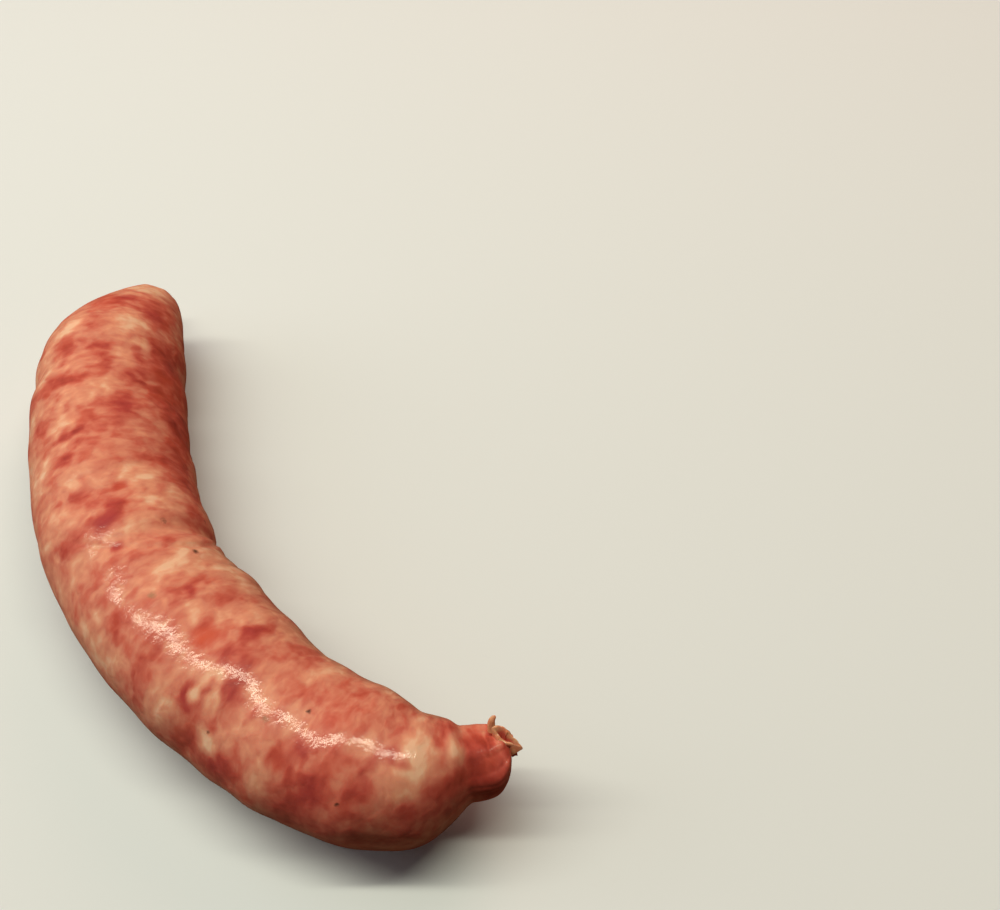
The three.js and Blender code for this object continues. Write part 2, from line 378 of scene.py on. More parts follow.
def make_link(offset):
    """The filled casing, bent along its centreline and set down on the surface."""
    s, round_ = rings(link_stations(), SIDES)
    points, radius = skin_points(s, round_, fine=True)
    link = grid_mesh("link_casing", (points + offset) * MM, SIDES)
    unbent = np.stack([s, radius * np.cos(round_), radius * np.sin(round_)], axis=-1)
    add_attribute(link, "unbent", unbent)
    # leanness of the meat, with the listed patches of painted shade and painted highlight in it
    lean_and_painted_light, crimson = bits_and_painted_light(s, round_, unbent)
    add_attribute(link, "lean_and_painted_light", lean_and_painted_light)
    add_attribute(link, "crimson", crimson)
    unwrap(link, SIDES)
    return link


def unwrap(piece, sides):
    """A map that lays the tube out flat: along it in u and round it in v."""
    mesh = piece.data
    layer = mesh.uv_layers.new(name="OFBake")
    rings_made = (len(mesh.vertices) - 2) // sides
    for polygon in mesh.polygons:
        corners = [mesh.loops[i].vertex_index for i in polygon.loop_indices]
        ring = [min(c, rings_made * sides - 1) // sides for c in corners]
        place = [c % sides for c in corners]
        if max(place) - min(place) > sides / 2:
            place = [p + sides if p < sides / 2 else p for p in place]
        for k, i in enumerate(polygon.loop_indices):
            if corners[k] >= rings_made * sides:
                first = corners[k] == rings_made * sides
                ring[k] = -1 if first else rings_made
                place[k] = sum(p for n, p in enumerate(place) if n != k) / 2
            across = (place[k] + 0.5) / (sides + 1)
            layer.data[i].uv = ((ring[k] + 1.5) / (rings_made + 2), across)


# ---------------------------------------------------------------- the casing's twisted tails
# The torn lip of the neck's tail round its mouth, the foot that its wall rises from, and the
# route of the strip of casing pulled up from it
NECK_LIP = (
    (70.7, 22.7, 19.3),
    (71.2, 23.7, 19.6),
    (72.3, 24.3, 19.3),
    (73.4, 24.5, 18.7),
    (75.5, 24.8, 18.0),
    (73.9, 23.8, 17.8),
    (72.9, 22.9, 18.1),
    (71.6, 22.7, 18.7),
)
NECK_TAIL_FOOT = (73.0, 22.6, 15.6)
NECK_STRIP = ((70.4, 22.6, 18.6), (69.9, 22.8, 19.9), (69.7, 23.2, 20.7), (69.7, 23.8, 21.2))
# the strip's half-width and half-thickness, its size at the foot, how much it tapers, how
# abruptly its tip closes and to what, the direction that its edges are square to, and how much
# of its route it takes up
STRIP_WIDTH, STRIP_THICKNESS = 0.62, 0.3
STRIP_FOOT, STRIP_TAPER, STRIP_TIP, STRIP_TIP_LEAST = 1.25, 0.6, 6, 0.02
STRIP_FACING = (0.4, -0.3, 0.86)
STRIP_REACH = 0.999
# where the wall of the blunt end's tail starts along the link, and that tail's lip: its
# half-width, half-height and corners, and the sizes of its lobes, its oval and its waves
BLUNT_TAIL_FOOT = 1.5
BLUNT_LIP_WIDTH, BLUNT_LIP_HEIGHT, BLUNT_LIP_CORNERS = 2.7, 1.6, 9
BLUNT_LIP_LOBES, BLUNT_LIP_OVAL, BLUNT_LIP_WAVES = 0.22, 0.12, 0.5
NECK_LIP_THICKNESS, BLUNT_LIP_THICKNESS = 0.78, 0.55
LIP_RUFFLE, RUFFLE_LENGTH = 0.18, 0.8
FOOT_WIDTH, MOUTH_DEPTH, MOUTH_CURVE = 0.62, 1.5, 1.3
TAIL_SIDES, WALL_RINGS, LIP_RINGS, MOUTH_RINGS = 96, 8, 6, 6
DARKENING_RINGS = 2
STRIP_SIDES, STRIP_RINGS = 16, 20


def smooth_curve(corners, t):
    """Points of a smooth curve through the corners, one for each unit of t, wrapping round."""
    corners = np.array(corners, float)
    i = np.floor(t).astype(int)
    u = (t - i)[:, None]
    a, b, c, d = (corners[(i + k) % len(corners)] for k in (-1, 0, 1, 2))
    bend, twist = 2 * a - 5 * b + 4 * c - d, 3 * (b - c) + d - a
    return 0.5 * (2 * b + (c - a) * u + bend * u**2 + twist * u**3)


def make_tail(name, corners, foot, thickness):
    """A ragged tube of casing: a wall up from the foot, a rolled lip and the mouth inside it."""
    lip = smooth_curve(corners, np.arange(TAIL_SIDES) * len(corners) / TAIL_SIDES)[::-1]
    middle = lip.mean(0)
    up = (middle - foot) / np.linalg.norm(middle - foot)
    outwards = lip - middle
    outwards -= (outwards @ up)[:, None] * up
    outwards /= np.linalg.norm(outwards, axis=1)[:, None]
    ruffle = np.array([noise.noise(Vector(p) / RUFFLE_LENGTH) for p in lip])
    lip = lip + LIP_RUFFLE * ruffle[:, None] * (outwards + up)
    half = thickness / 2
    rise = foot + (lip - middle) * FOOT_WIDTH
    outer, inner = lip + outwards * half, lip - outwards * half
    bottom = middle - up * MOUTH_DEPTH
    made = [rise + (outer - rise) * t for t in np.linspace(0, 1, WALL_RINGS)]
    for roll in np.linspace(0, math.pi, LIP_RINGS)[1:]:
        made.append(lip + half * (outwards * math.cos(roll) + up * math.sin(roll)))
    for t in np.linspace(0, 1, MOUTH_RINGS)[1:-1]:
        made.append(inner + (bottom - inner) * t**MOUTH_CURVE)
    piece = grid_mesh(name, np.vstack(made) * MM, TAIL_SIDES)
    shown = len(made) - MOUTH_RINGS + 1
    inside = np.clip((np.arange(len(made)) - shown) / DARKENING_RINGS, 0, 1)
    add_attribute(piece, "inside", np.repeat(inside, TAIL_SIDES))
    return piece


def make_strip(name, route):
    """A narrow strip of casing that tapers to its tip."""
    t = np.linspace(0, 1, STRIP_RINGS)
    middles = smooth_curve(list(route) + [route[-1]], t * (len(route) - 1) * STRIP_REACH)
    along = np.gradient(middles, axis=0)
    along /= np.linalg.norm(along, axis=1)[:, None]
    across = np.cross(along, STRIP_FACING)
    across /= np.linalg.norm(across, axis=1)[:, None]
    made = []
    for middle, forward, side, u in zip(middles, along, across, t):
        closing = math.sqrt(max(1 - u**STRIP_TIP, STRIP_TIP_LEAST))
        size = (STRIP_FOOT - STRIP_TAPER * u) * closing
        angles = np.linspace(0, 2 * np.pi, STRIP_SIDES, endpoint=False)[:, None]
        flat = np.cross(forward, side)
        ring = STRIP_WIDTH * np.cos(angles) * side + STRIP_THICKNESS * np.sin(angles) * flat
        made.append(middle + size * ring)
    piece = grid_mesh(name, np.vstack(made) * MM, STRIP_SIDES)
    add_attribute(piece, "inside", np.zeros(len(made) * STRIP_SIDES))
    return piece


def blunt_lip(offset):
    """The lip of the blunt end's tail, round the end of its solid."""
    end, before = centres(np.array([-TAIL_LENGTH, 0.0])) + offset
    away = (end - before) / np.linalg.norm(end - before)
    across = np.cross(away, (0, 0, 1))
    across /= np.linalg.norm(across)
    up = np.cross(across, away)
    corners = []
    for i in range(BLUNT_LIP_CORNERS):
        angle = 2 * math.pi * i / BLUNT_LIP_CORNERS
        lobes = BLUNT_LIP_LOBES * math.sin(3 * angle + 1)
        size = 1 + lobes + BLUNT_LIP_OVAL * math.cos(2 * angle)
        corner = end + across * BLUNT_LIP_WIDTH * size * math.cos(angle)
        corner = corner + up * BLUNT_LIP_HEIGHT * size * math.sin(angle)
        corners.append(corner + away * BLUNT_LIP_WAVES * math.sin(2 * angle + 0.4))
    return corners


# ---------------------------------------------------------------- where the meat is lean or fat, with painted shade and highlight
# Bits of meat and fat, listed one by one, with patches of painted shade and painted highlight
# among
# them: place along, place round in degrees, half-length along, half-length round, leanness (below
# 0 is fat; on a patch of painted shade it is the darkening, on a painted highlight the paling) and
# how crimson (below 0 is orange)
BITS_AND_PAINTED_LIGHT = (
    (7.5, 62, 3.5, 4.5, -0.35, -0.4),
    (16.0, 57, 2.5, 3.0, 0.35, 0.1),
    (20.5, 50, 2.0, 2.2, 0.32, 0.5),
    (18.5, 38, 4.0, 3.5, 0.18, 0.0),
    # painted shade: a broad darker band along the inside of the bend
    (38.0, 26, 20.0, 5.0, 0.3, -0.1),
    (17.5, 93, 2.5, 2.2, 0.3, 0.0),
    (15.5, 80, 1.6, 2.0, 0.25, 0.4),
    (27.5, 113, 2.0, 2.5, -0.4, -0.3),
    (26.0, 66, 4.0, 3.2, -0.25, 0.0),
    (32.5, 112, 2.0, 2.4, 0.35, 0.0),
    (34.5, 84, 1.8, 2.0, 0.45, 0.2),
    (32.0, 51, 1.6, 1.0, -0.3, 0.0),
    (35.0, 72, 2.4, 2.0, -0.15, 0.0),
    (35.5, 35, 3.2, 4.0, 0.3, 0.3),
    (41.0, 125, 1.4, 2.0, 0.22, 0.0),
    (43.3, 103, 1.0, 3.2, 0.5, 0.1),
    (42.3, 56, 1.8, 2.3, 0.4, 0.1),
    (40.0, 80, 2.2, 1.2, 0.25, 0.0),
    (43.0, 138, 1.4, 2.0, 0.15, 0.0),
    (45.5, 78, 2.0, 3.0, -0.3, -0.1),
    (47.0, 124, 2.0, 2.4, -0.25, 0.0),
    (49.0, 148, 3.0, 3.0, -0.25, -0.2),
    (51.5, 66, 3.0, 2.0, 0.45, 0.5),
    (54.0, 113, 1.8, 2.2, -0.45, 0.0),
    (54.0, 133, 2.6, 2.0, 0.35, 0.0),
    (57.5, 111, 1.0, 3.2, 0.45, 0.4),
    (57.8, 94, 1.3, 6.5, 0.2, 0.15),
    (52.5, 90, 1.2, 6.0, 0.16, 0.1),
    (64.0, 98, 1.2, 5.5, 0.16, 0.1),
    (33.5, 98, 1.4, 7.0, 0.14, 0.1),
    (43.0, 110, 1.2, 3.6, 0.14, 0.1),
    (36.5, 132, 4.5, 5.0, -0.24, -0.1),
    (26.0, 128, 3.0, 3.0, -0.16, 0.0),
    (17.5, 78, 2.6, 2.6, 0.18, 0.1),
    # painted shade: the darker band along the inside of the bend, continued
    (50.0, 16, 12.0, 5.0, 0.3, 0.0),
    (61.0, 66, 5.0, 3.0, 0.14, 0.1),
    (77.0, 108, 3.0, 4.0, 0.12, 0.1),
    (77.0, 43, 3.0, 2.5, -0.2, 0.0),
    (97.5, 30, 5.0, 3.0, -0.2, 0.0),
    (108.0, 66, 4.0, 3.4, 0.16, 0.15),
    # painted light: a paler band along the bottom edge, standing in for light thrown up from the
    # floor
    (100.0, 163, 8.0, 3.0, -0.16, 0.0),
    (127.0, 116, 2.5, 2.5, 0.12, 0.2),
    (138.0, 146, 3.0, 3.0, 0.14, 0.0),
    (73.5, 104, 1.3, 5.0, 0.14, 0.0),
    (63.0, 114, 1.8, 2.0, 0.5, 0.4),
    (61.5, 138, 4.0, 3.5, -0.25, -0.2),
    (67.5, 52, 1.5, 2.5, 0.35, 0.0),
    (68.0, 108, 2.4, 2.4, -0.1, 0.0),
    (71.8, 114, 1.3, 2.2, 0.25, 0.0),
    (73.8, 82, 1.0, 1.0, 0.4, -0.3),
    (74.5, 67, 4.0, 3.0, -0.3, 0.0),
    (74.5, 130, 3.0, 3.0, -0.25, -0.1),
    (78.0, 87, 1.4, 1.8, 0.3, 0.6),
    # painted shade: the darker band along the inside of the bend, further on
    (72.0, 24, 9.0, 4.5, 0.3, -0.1),
    (81.2, 97, 1.5, 2.0, 0.38, 0.8),
    (81.0, 117, 1.6, 3.6, 0.22, 0.0),
    (81.5, 139, 2.0, 2.5, 0.18, 0.0),
    (87.5, 98, 1.0, 1.0, 0.5, 0.8),
    (84.5, 80, 2.0, 3.5, -0.25, 0.0),
    (91.0, 68, 1.0, 1.0, 0.35, 0.1),
    (94.5, 63, 0.8, 1.1, -0.35, 0.0),
    (95.5, 122, 1.4, 2.0, 0.3, 0.0),
    (97.0, 78, 1.9, 3.2, -0.3, -0.2),
    (99.0, 126, 1.5, 2.2, 0.45, 0.0),
    (100.0, 46, 1.0, 2.4, -0.3, 0.0),
    (101.5, 132, 0.8, 2.6, 0.3, 0.2),
    (103.7, 77, 1.4, 1.1, 0.5, 0.4),
    (107.0, 92, 2.6, 3.4, -0.25, 0.0),
    (108.3, 57, 1.5, 2.5, 0.35, 0.0),
    (108.7, 146, 1.8, 5.5, 0.36, 0.1),
    (113.3, 90, 1.6, 2.0, 0.36, -0.6),
    (111.6, 84, 1.0, 1.4, 0.25, 0.2),
    (114.2, 145, 1.6, 4.5, -0.35, -0.1),
    (115.5, 50, 1.8, 3.0, -0.25, 0.0),
    (118.7, 131, 1.9, 1.7, 0.5, 0.9),
    (120.6, 119, 0.8, 1.6, 0.4, 0.5),
    (118.9, 121, 0.9, 1.2, -0.36, -0.3),
    (117.2, 121, 0.6, 1.6, 0.35, 0.5),
    (118.6, 92, 1.6, 1.5, 0.35, 0.2),
    (118.3, 68, 1.4, 1.8, 0.28, 0.4),
    (118.8, 56, 1.2, 2.0, 0.35, 0.0),
    (119.5, 163, 1.6, 3.5, 0.42, 0.1),
    (121.4, 112, 0.8, 2.4, -0.5, 0.0),
    (124.0, 114, 2.4, 3.0, 0.35, 0.6),
    (123.6, 150, 1.1, 2.0, -0.5, 0.0),
    (124.9, 145, 1.2, 2.0, -0.5, 0.0),
    (125.5, 47, 2.2, 1.8, 0.15, 0.0),
    (125.0, 78, 5.5, 4.0, 0.14, 0.25),
    (137.5, 74, 5.0, 4.0, 0.1, 0.1),
    (127.0, 160, 3.0, 3.5, 0.36, 0.2),
    (132.0, 67, 0.9, 2.2, -0.3, -0.2),
    (132.7, 128, 1.6, 3.0, -0.2, 0.0),
    (134.6, 150, 2.2, 3.2, -0.35, -0.1),
    (136.0, 126, 2.0, 1.5, 0.4, 0.0),
    (138.4, 113, 1.2, 1.8, 0.35, 0.3),
    (142.0, 136, 1.8, 2.2, 0.22, 0.4),
    (147.8, 129, 1.2, 1.6, 0.22, 0.0),
    (148.6, 111, 1.0, 2.0, 0.26, 0.4),
    (150.8, 98, 1.0, 1.3, 0.45, 0.3),
    # pale fat, and in part a painted highlight where the glossy streak along the top ends
    (154.2, 119, 2.8, 2.2, -0.34, -0.1),
    (154.0, 106, 2.0, 0.6, 0.35, 0.0),
    # pale fat, and in part a painted highlight where the glossy streak along the top ends
    (154.8, 78, 1.9, 3.4, -0.34, -0.1),
    (147.0, 55, 2.5, 4.0, -0.16, 0.0),
    (157.5, 62, 1.6, 3.0, 0.14, 0.0),
    (160.2, 62, 2.0, 3.6, 0.24, 0.05),
    (151.5, 70, 2.6, 2.6, 0.14, 0.1),
    # painted shade: darker underside of the near half towards the neck
    (159.0, 152, 5.0, 5.0, 0.3, 0.0),
    # pale fat, and in part a painted highlight where the glossy streak along the top ends
    (155.6, 97, 2.0, 2.2, -0.32, -0.1),
    # painted shade: this line and the next darken the underside of the near half
    (148.0, 150, 9.0, 6.0, 0.18, 0.1),
    (132.0, 166, 9.0, 4.5, 0.18, 0.1),
    (161.5, 92, 0.7, 2.0, -0.3, 0.0),
    (164.6, 104, 1.7, 2.2, 0.28, 0.1),
    (165.2, 72, 1.6, 1.6, 0.16, 0.0),
    (161.4, 103, 1.2, 1.6, -0.2, 0.0),
    (165.0, 86, 1.6, 2.6, 0.2, 0.1),
    # painted shade: darker lower side of the neck
    (164.0, 134, 3.0, 2.0, 0.2, 0.0),
    (166.8, 84, 1.3, 1.5, 0.24, 0.0),
    # painted shade: darker end face of the neck, where light does not reach
    (169.4, 28, 3.0, 3.0, 0.3, 0.0),
    # painted shade: this line and the next darken the lower side and underside of the neck
    (166.5, 128, 3.2, 3.4, 0.26, -0.1),
    (168.0, 155, 4.5, 4.0, 0.25, 0.0),
    (167.6, 80, 0.28, 2.2, -0.3, 0.0),
    (169.4, 84, 0.26, 2.0, -0.25, 0.0),
    (168.6, 88, 1.4, 2.4, 0.2, 0.0),
    (168.0, 86, 0.9, 1.6, 0.2, 0.1),
    (159.8, 80, 1.7, 2.8, 0.2, 0.1),
    # pale fat, and in part a painted highlight where the glossy streak along the top ends
    (156.6, 104, 1.6, 1.9, -0.1, 0.0),
)
# how far the bits' edges wander and over what length, how much the bits spread, and how sharp
# their edges are
BIT_WARP, BIT_WARP_LENGTH, BIT_SPREAD, BIT_EDGE = 1.1, 2.6, 1.3, 1.3
BIT_NOISE_PLACE = (7.0, 3.0, 11.0)
# noise_vector starts from the clock unless it is given a seed
BIT_SEED = 1795457503


def bits_and_painted_light(s, round_, unbent):
    """Leanness and redness from the listed bits, with ragged edges; some bits are painted shade
    and painted highlight.
    """
    noise.seed_set(BIT_SEED)
    away = Vector(BIT_NOISE_PLACE)
    warp = [noise.noise_vector(Vector(p) / BIT_WARP_LENGTH + away) for p in unbent]
    warp = BIT_WARP * np.array(warp)
    lean_and_painted_light, crimson = np.zeros_like(s), np.zeros_like(s)
    for place, side, along, arc, leanness_and_painted_light, redness in BITS_AND_PAINTED_LIGHT:
        across = turned(round_, side) * np.hypot(unbent[:, 1], unbent[:, 2])
        far = ((s + warp[:, 0] - place) / along) ** 2 + ((across + warp[:, 1]) / arc) ** 2
        share = np.exp(-((far / BIT_SPREAD**2) ** BIT_EDGE))
        # real leanness, painted shade and painted highlight all add up here
        lean_and_painted_light += leanness_and_painted_light * share
        crimson += redness * share
    return lean_and_painted_light, crimson


# ---------------------------------------------------------------- materials
def node(tree, kind, inputs=(), **settings):
    """A shader node with its settings, its inputs linked or set."""
    made = tree.nodes.new("ShaderNode" + kind)
    for name, value in settings.items():
        setattr(made, name, value)
    for name, value in dict(inputs).items():
        if isinstance(value, bpy.types.NodeSocket):
            tree.links.new(value, made.inputs[name])
        else:
            made.inputs[name].default_value = value
    return made


def maths(tree, operation, *values, clamp=False):
    """One sum on numbers."""
    made = node(tree, "Math", dict(enumerate(values)), operation=operation, use_clamp=clamp)
    return made.outputs[0]


def vector_maths(tree, operation, *values):
    """One sum on vectors; a distance is a number."""
    made = node(tree, "VectorMath", dict(enumerate(values)), operation=operation)
    return made.outputs["Value" if operation == "DISTANCE" else "Vector"]


def scaled(tree, vector, scale):
    """A vector with each of its axes scaled."""
    return vector_maths(tree, "MULTIPLY", vector, scale)


def new_material(name, settings):
    """A material with its node tree and its surface node, whose inputs are set."""
    material = bpy.data.materials.new(name)
    material.use_nodes = True
    surface = material.node_tree.nodes["Principled BSDF"]
    for socket, value in settings.items():
        surface.inputs[socket].default_value = value
    return material, material.node_tree, surface


def cloudy(tree, vector, scale, detail=2.0, roughness=0.5):
    """Noise as (factor, colour), finer with a larger scale."""
    inputs = {"Vector": vector, "Scale": scale, "Detail": detail, "Roughness": roughness}
    made = node(tree, "TexNoise", inputs)
    return made.outputs["Fac"], made.outputs["Color"]


def warped(tree, vector, scale, distance):
    """A vector pushed about by noise."""
    _, colour = cloudy(tree, vector, scale)
    centred = vector_maths(tree, "SUBTRACT", colour, (0.5, 0.5, 0.5))
    return vector_maths(tree, "ADD", vector, scaled(tree, centred, (distance,) * 3))


def cells(tree, vector, scale):
    """A random number for each of many soft-edged cells."""
    inputs = {"Vector": vector, "Scale": scale, "Smoothness": CELL_SMOOTHNESS}
    made = node(tree, "TexVoronoi", inputs, feature="SMOOTH_F1")
    split = node(tree, "SeparateColor", {"Color": made.outputs["Color"]})
    return split.outputs["Red"]


def blend_of(tree, factor, a, b):
    """A colour between two; the Mix node has several sockets of one name, so they go by number."""
    made = node(tree, "Mix", data_type="RGBA", blend_type="MIX")
    for socket, value in ((0, factor), (6, a), (7, b)):
        if isinstance(value, bpy.types.NodeSocket):
            tree.links.new(value, made.inputs[socket])
        else:
            made.inputs[socket].default_value = value
    return made.outputs[2]


def ramp(tree, factor, stops):
    """A colour ramp from (position, colour) pairs."""
    made = node(tree, "ValToRGB", {"Fac": factor})
    made.color_ramp.interpolation = "LINEAR"
    elements = made.color_ramp.elements
    while len(elements) < len(stops):
        elements.new(0.5)
    for element, (position, colour) in zip(elements, stops):
        element.position = position
        element.color = colour
    return made.outputs["Color"]


def rgb(red, green, blue):
    """A linear colour from one given in 0 to 255 as screens show it."""
    shown = [channel / 255 for channel in (red, green, blue)]
    linear = [c / 12.92 if c <= 0.04045 else ((c + 0.055) / 1.055) ** 2.4 for c in shown]
    return (*linear, 1.0)


FAT_CREAM = rgb(240, 190, 160)
FAT_TAN = rgb(230, 155, 127)
PINK = rgb(217, 131, 109)
LEAN_PINK = rgb(206, 104, 87)
LEAN_RED = rgb(188, 79, 67)
LEAN_DARK = rgb(154, 56, 47)
CRIMSON = rgb(174, 58, 64)
ORANGE_RED = rgb(218, 92, 62)
PEPPER = rgb(62, 42, 30)
HERB = rgb(138, 118, 84)
CASING_PALE = rgb(240, 174, 134)
CASING_PINK = rgb(220, 134, 102)

# From fat to lean, by the leanness with its painted shade and painted highlight, times
# LEAN_TO_RAMP
LEAN_TO_RAMP = 0.84
MEAT_RAMP = (
    (0.0, FAT_CREAM),
    (0.19, FAT_TAN),
    (0.38, PINK),
    (0.55, LEAN_PINK),
    (0.72, LEAN_RED),
    (1.0, LEAN_DARK),
)
CASING_RAMP = ((0.3, CASING_PINK), (0.65, CASING_PALE))

# What the surfaces are like apart from the inputs that nodes are linked to
MEAT_SURFACE = {
    "Specular IOR Level": 0.25,
    "Subsurface Weight": 0.2,
    "Subsurface Radius": (1.0, 0.35, 0.2),
    "Subsurface Scale": 1.6 * MM,
    "IOR": 1.4,
    "Coat Roughness": 0.175,
}
CASING_SURFACE = {
    "Roughness": 0.36,
    "Subsurface Weight": 0.35,
    "Subsurface Radius": (1.0, 0.45, 0.3),
    "Subsurface Scale": 1.2 * MM,
    "Coat Weight": 0.6,
    "Coat Roughness": 0.15,
}
FLOOR_SURFACE = {"Roughness": 0.9, "Specular IOR Level": 0.2}

# The pattern of the grind: how it is drawn out along the link, the scale and distance of the
# warps that make it ragged, and how soft its cells are
MEAT_STRETCH = (1.5, 1.0, 1.0)
MEAT_WARPS = ((0.18, 3.0), (0.5, 0.5))
CELL_SMOOTHNESS = 0.8
# scale, level that leaves the leanness as it is, and weight of each part of that pattern
LARGE_CELLS, SMALL_CELLS = (0.19, 0.04, 0.42), (0.45, 0.05, 0.26)
STREAKS, BROAD_PATCHES = (0.4, 0.29, 0.74), (0.06, 0.5, 0.5)
STREAK_ROUGHNESS = 0.45
# the same for what turns the lean crimson or orange, the leanness that it starts from, and its
# strength towards either
TINT = (0.12, 0.55, 1.4)
TINTED_FROM, TO_CRIMSON, TO_ORANGE = 0.3, 1.1, -1.4

# Specks seen through the casing: place along, place round and radius
PEPPER_SPECKS = (
    (85.3, 62, 0.6),
    (95.0, 54, 0.5),
    (136.2, 89, 0.4),
    (123.7, 139, 0.35),
    (146.1, 139, 0.35),
)
HERB_SPECKS = ((100.4, 97, 0.65), (131.0, 108, 0.5))
PEPPER_STRENGTH, HERB_STRENGTH = 0.85, 0.5
# how far out a speck ends, in radii, and the scale and distance of the warp of its edge
SPECK_REACH, SPECK_WARP = 1.5, (1.1, 1.1)
# number, seed, distance from the ends, places round from and to, and radii from and to
SCATTERED_SPECKS, SPECK_SEED, SPECK_MARGIN = 26, 11, 8
SPECK_SIDES, SPECK_RADII = (172, 380), (0.25, 0.45)
# Where the film of moisture thickens along the link: from, to and its least share
MOISTENING = ((86.0, 97.0, 0.4), (165.0, 159.0, 0.35))


def unbent_place(place, side):
    """A point of the skin in the coordinates of the attribute "unbent"."""
    angle = math.radians(side)
    radius = float(filled_radius(np.array([place]))[0])
    return (place, radius * math.cos(angle), radius * math.sin(angle))


def spots(tree, coordinates, places):
    """A mask of small round spots at the places given with their radii."""
    mask = None
    for place, side, radius in places:
        away = vector_maths(tree, "DISTANCE", coordinates, unbent_place(place, side))
        radii_away = maths(tree, "DIVIDE", away, radius)
        spot = maths(tree, "SUBTRACT", SPECK_REACH, radii_away, clamp=True)
        mask = spot if mask is None else maths(tree, "MAXIMUM", mask, spot)
    return mask


def scattered_specks():
    """Pepper on the sides that the listed specks leave out."""
    draw = np.random.default_rng(SPECK_SEED)
    places = draw.uniform(SPECK_MARGIN, LENGTH - SPECK_MARGIN, SCATTERED_SPECKS)
    sides = draw.uniform(*SPECK_SIDES, SCATTERED_SPECKS)
    radii = draw.uniform(*SPECK_RADII, SCATTERED_SPECKS)
    return [tuple(map(float, speck)) for speck in zip(places, sides, radii)]


def add_level(tree, total, value, part):
    """The total with a value added, less the level and times the weight of its part."""
    _, level, weight = part
    return maths(tree, "MULTIPLY_ADD", maths(tree, "SUBTRACT", value, level), weight, total)


def meat_material():
    """Coarse lean and fat, seen through a moist casing, with painted shade and painted highlight
    in its colour.
    """
    material, tree, surface = new_material("meat_in_casing", MEAT_SURFACE)
    place = node(tree, "Attribute", attribute_name="unbent").outputs["Vector"]
    listed_lean_and_painted_light = node(tree, "Attribute", attribute_name="lean_and_painted_light").outputs["Fac"]
    hand_red = node(tree, "Attribute", attribute_name="crimson").outputs["Fac"]

    drawn = scaled(tree, place, MEAT_STRETCH)
    for scale, distance in MEAT_WARPS:
        drawn = warped(tree, drawn, scale, distance)
    large = cells(tree, drawn, LARGE_CELLS[0])
    small = cells(tree, drawn, SMALL_CELLS[0])
    streaks, _ = cloudy(tree, drawn, STREAKS[0], roughness=STREAK_ROUGHNESS)
    broad, _ = cloudy(tree, place, BROAD_PATCHES[0])

    # the listed bits bring painted shade and painted highlight into this leanness
    lean_and_painted_light = add_level(tree, listed_lean_and_painted_light, large, LARGE_CELLS)
    lean_and_painted_light = add_level(tree, lean_and_painted_light, small, SMALL_CELLS)
    lean_and_painted_light = add_level(tree, lean_and_painted_light, streaks, STREAKS)
    lean_and_painted_light = add_level(tree, lean_and_painted_light, broad, BROAD_PATCHES)
    colour = ramp(tree, maths(tree, "MULTIPLY", lean_and_painted_light, LEAN_TO_RAMP), MEAT_RAMP)

    tint, _ = cloudy(tree, place, TINT[0])
    red = add_level(tree, hand_red, tint, TINT)
    lean_and_shaded_excess = maths(tree, "SUBTRACT", lean_and_painted_light, TINTED_FROM, clamp=True)
    reds = maths(tree, "MULTIPLY", red, lean_and_shaded_excess)
    crimson = maths(tree, "MULTIPLY", reds, TO_CRIMSON, clamp=True)
    colour = blend_of(tree, crimson, colour, CRIMSON)
    orange = maths(tree, "MULTIPLY", reds, TO_ORANGE, clamp=True)
    colour = blend_of(tree, orange, colour, ORANGE_RED)

    ragged = warped(tree, place, *SPECK_WARP)
    herb = maths(tree, "MULTIPLY", spots(tree, ragged, HERB_SPECKS), HERB_STRENGTH)
    colour = blend_of(tree, herb, colour, HERB)
    pepper = spots(tree, ragged, PEPPER_SPECKS + tuple(scattered_specks()))
    pepper = maths(tree, "MULTIPLY", pepper, PEPPER_STRENGTH)
    colour = blend_of(tree, pepper, colour, PEPPER)
    tree.links.new(colour, surface.inputs["Base Color"])

    wet, _ = cloudy(tree, place, 0.35, 3.0)
    roughness = node(tree, "MapRange", {"Value": wet, "To Min": 0.65, "To Max": 0.45})
    tree.links.new(roughness.outputs["Result"], surface.inputs["Roughness"])
    moist = node(tree, "MapRange", {"Value": wet, "From Min": 0.35, "From Max": 0.6})
    moist.inputs["To Min"].default_value, moist.inputs["To Max"].default_value = 0.45, 1.0
    along = node(tree, "SeparateXYZ", {"Vector": place}).outputs["X"]
    share = moist.outputs["Result"]
    for start, end, least in MOISTENING:
        inputs = {"Value": along, "From Min": start, "From Max": end, "To Min": least}
        eased = node(tree, "MapRange", inputs, interpolation_type="SMOOTHSTEP")
        share = maths(tree, "MULTIPLY", share, eased.outputs["Result"])
    tree.links.new(share, surface.inputs["Coat Weight"])

    fine, _ = cloudy(tree, scaled(tree, place, (1.4, 1.0, 1.0)), 0.8, 3.0, 0.55)
    inputs = {"Height": fine, "Strength": 0.25, "Distance": 0.1 * MM}
    bump = node(tree, "Bump", inputs)
    inputs = {"Height": small, "Strength": 0.35, "Distance": 0.3 * MM}
    swollen = node(tree, "Bump", {**inputs, "Normal": bump.outputs["Normal"]})
    tree.links.new(swollen.outputs["Normal"], surface.inputs["Normal"])
    film, _ = cloudy(tree, scaled(tree, place, (1.2, 1.0, 1.0)), 0.9, 2.0, 0.5)
    glazed = node(tree, "Bump", {"Height": film, "Strength": 0.4, "Distance": 0.18 * MM})
    tree.links.new(glazed.outputs["Normal"], surface.inputs["Coat Normal"])
    return material


